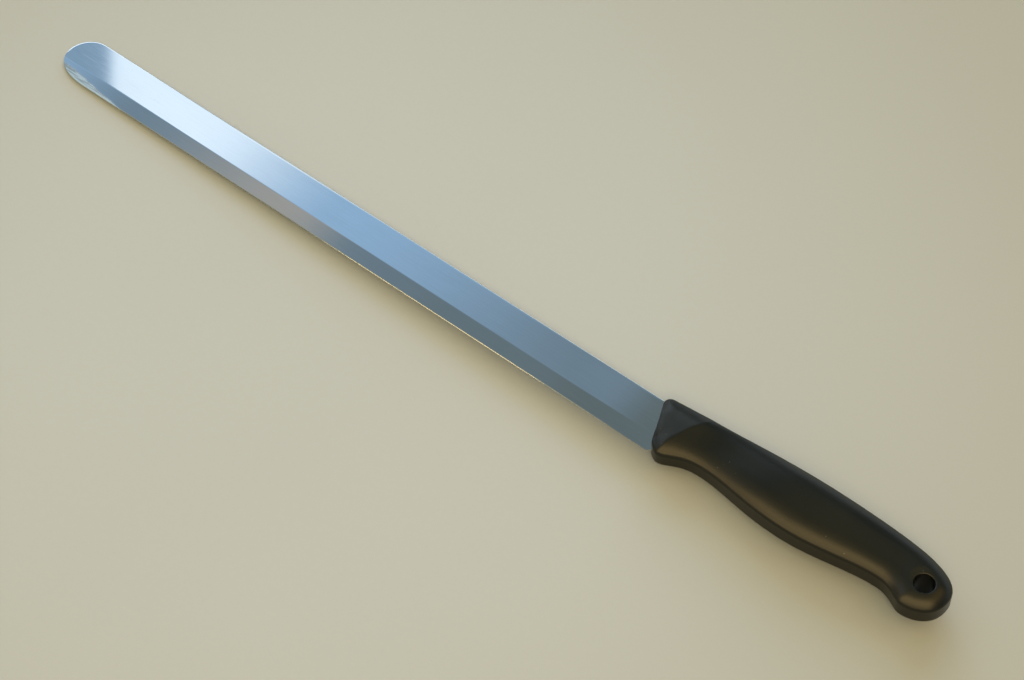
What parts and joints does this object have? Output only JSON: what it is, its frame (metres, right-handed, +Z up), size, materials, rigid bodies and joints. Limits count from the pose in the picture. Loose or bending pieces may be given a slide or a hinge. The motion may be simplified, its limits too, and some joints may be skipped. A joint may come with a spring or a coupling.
{
  "type": "cake knife",
  "caption": "Long cake knife with a parallel, round-tipped flat blade and a curved moulded handle that has a finger guard and a hanging hole.",
  "frame": {"origin": "middle of the box round the knife, at the height of the table it lies on", "axes": "+X from the blade's tip to the butt of the handle, +Y from the cutting edge to the spine, +Z up from the table"},
  "size_m": [0.4236, 0.0262, 0.0176],
  "materials": {
    "blade_steel": "fine ground steel with a semi-bright sheen",
    "handle_plastic": "black satin moulded plastic"
  },
  "bodies": {
    "root": {"blade": "blade_steel", "handle": "handle_plastic"}
  },
  "joints": []
}
